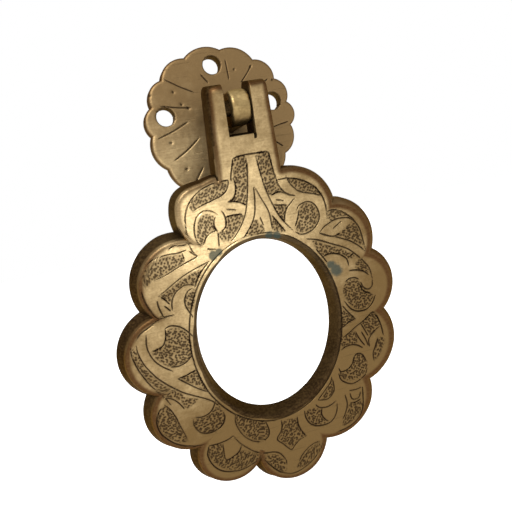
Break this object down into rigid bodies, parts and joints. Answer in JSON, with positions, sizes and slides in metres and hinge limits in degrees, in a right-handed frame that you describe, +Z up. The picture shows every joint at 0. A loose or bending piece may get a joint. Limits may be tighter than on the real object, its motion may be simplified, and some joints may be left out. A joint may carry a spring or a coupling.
{
  "type": "door knocker",
  "caption": "Scalloped oval ring knocker on a slotted neck, hinged by a cross pin on a lug riveted into a round petalled back plate with screw holes.",
  "frame": {"origin": "centre of the back plate, on its back face, which lies on the door", "axes": "+X right, +Y into the door, +Z up the door"},
  "size_m": [0.1001, 0.0308, 0.1589],
  "materials": {
    "aged_brass": "aged cast brass, filed and line engraved",
    "rough_brass": "rough aged brass",
    "pin_brass": "filed brass"
  },
  "bodies": {
    "plate": {"back_plate": "aged_brass", "hinge_lug": "rough_brass"},
    "knocker": {"knocker": "aged_brass", "hinge_pin": "pin_brass"}
  },
  "joints": [
    {"name": "knocker_swing", "type": "hinge", "parent": "plate", "child": "knocker", "pos_m": [0, -0.025, 0.0015], "axis": [-1, 0, 0], "range_deg": [0, 195]}
  ]
}
